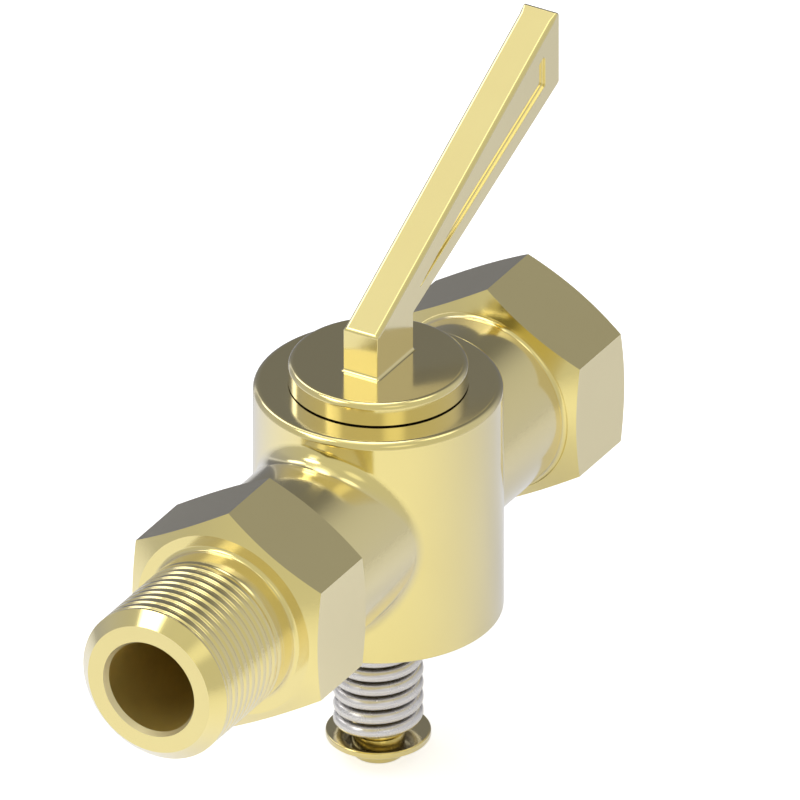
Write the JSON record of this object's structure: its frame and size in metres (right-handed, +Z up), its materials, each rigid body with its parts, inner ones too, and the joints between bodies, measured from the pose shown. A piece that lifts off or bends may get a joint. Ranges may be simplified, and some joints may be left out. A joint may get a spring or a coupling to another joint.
{
  "type": "plug shut-off valve",
  "caption": "Brass plug shut-off valve: a lever turns a tapered key in a straight-through body with a male and a female pipe thread on hexagon ends; a spring under the body holds the key down.",
  "frame": {"origin": "where the pipe axis and the key's turning axis cross, in the middle of the waterway", "axes": "+X along the pipe from the male end towards the female end, +Z up the key's axis towards the lever, +Y to the side; the lever lies over the female end, which is the open position"},
  "size_m": [0.1261, 0.0402, 0.1114],
  "materials": {
    "body_brass": "bright polished brass",
    "key_brass": "bright polished brass",
    "spring_steel": "bright drawn spring wire",
    "washer_brass": "bright turned brass",
    "screw_brass": "bright turned brass"
  },
  "bodies": {
    "body": {"valve_body": "body_brass"},
    "spring": {"spring": "spring_steel"},
    "key": {"plug_key": "key_brass", "spring_washer": "washer_brass", "retaining_screw": "screw_brass"}
  },
  "joints": [
    {"name": "key_turn", "type": "hinge", "parent": "body", "child": "spring", "pos_m": [0, 0, 0], "axis": [0, 0, 1], "continuous": true},
    {"name": "key_lift", "type": "slide", "parent": "spring", "child": "key", "axis": [0, 0, 1], "range_m": [0, 0.0042], "stiffness_N_per_m": 12000, "springref_m": -0.0034, "deforming": ["spring"]}
  ]
}
